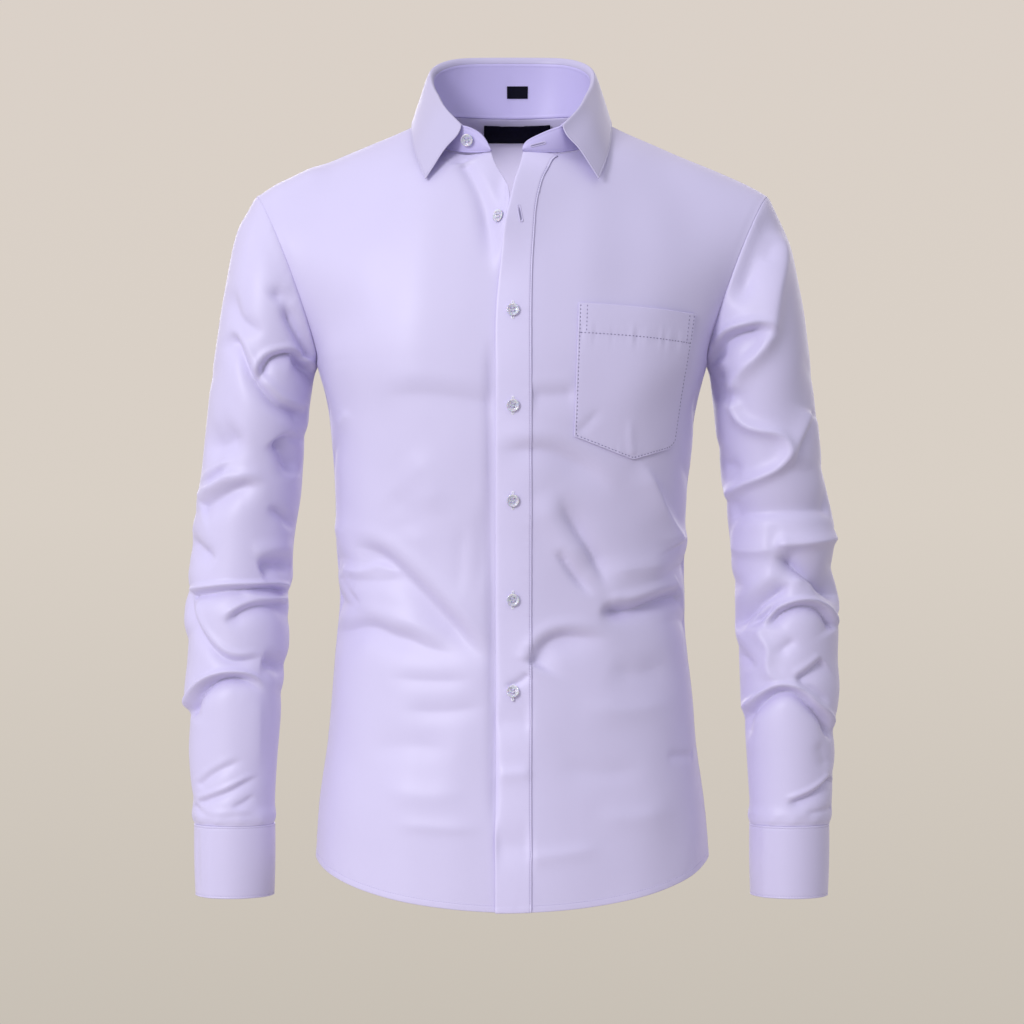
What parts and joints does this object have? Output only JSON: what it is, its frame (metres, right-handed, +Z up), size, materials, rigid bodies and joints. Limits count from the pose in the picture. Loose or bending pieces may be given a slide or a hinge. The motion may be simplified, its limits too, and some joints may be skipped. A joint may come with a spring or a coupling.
{
  "type": "long sleeve dress shirt",
  "caption": "Slim long sleeve dress shirt in plain lavender cotton, filled out as worn, with open pointed collar, button front, chest pocket and barrel cuffs.",
  "frame": {"origin": "on the centre plane at the base of the neck, level with the tops of the shoulder seams, where the wearer's shoulders and neck hold the shirt", "axes": "+Z up, the front faces -Y, +X is the wearer's left (pocket and buttonhole side)"},
  "size_m": [0.6011, 0.2476, 0.7925],
  "materials": {
    "cotton_lavender": "smooth fine cotton with a soft satin sheen",
    "label_black": "woven satin label, no text",
    "button_pearl": "clear pearly four-hole button"
  },
  "bodies": {
    "root": {"front_right": "cotton_lavender", "front_left": "cotton_lavender", "placket": "cotton_lavender", "back": "cotton_lavender", "yoke": "cotton_lavender", "sleeve_right": "cotton_lavender", "sleeve_left": "cotton_lavender", "cuff_right": "cotton_lavender", "cuff_left": "cotton_lavender", "collar_stand": "cotton_lavender", "collar_leaf": "cotton_lavender", "pocket": "cotton_lavender", "label_neck": "label_black", "label_size": "label_black", "button_collar": "button_pearl", "button_front_0": "button_pearl", "button_front_1": "button_pearl", "button_front_2": "button_pearl", "button_front_3": "button_pearl", "button_front_4": "button_pearl", "button_front_5": "button_pearl", "button_cuff_right": "button_pearl", "button_cuff_left": "button_pearl"}
  },
  "joints": []
}
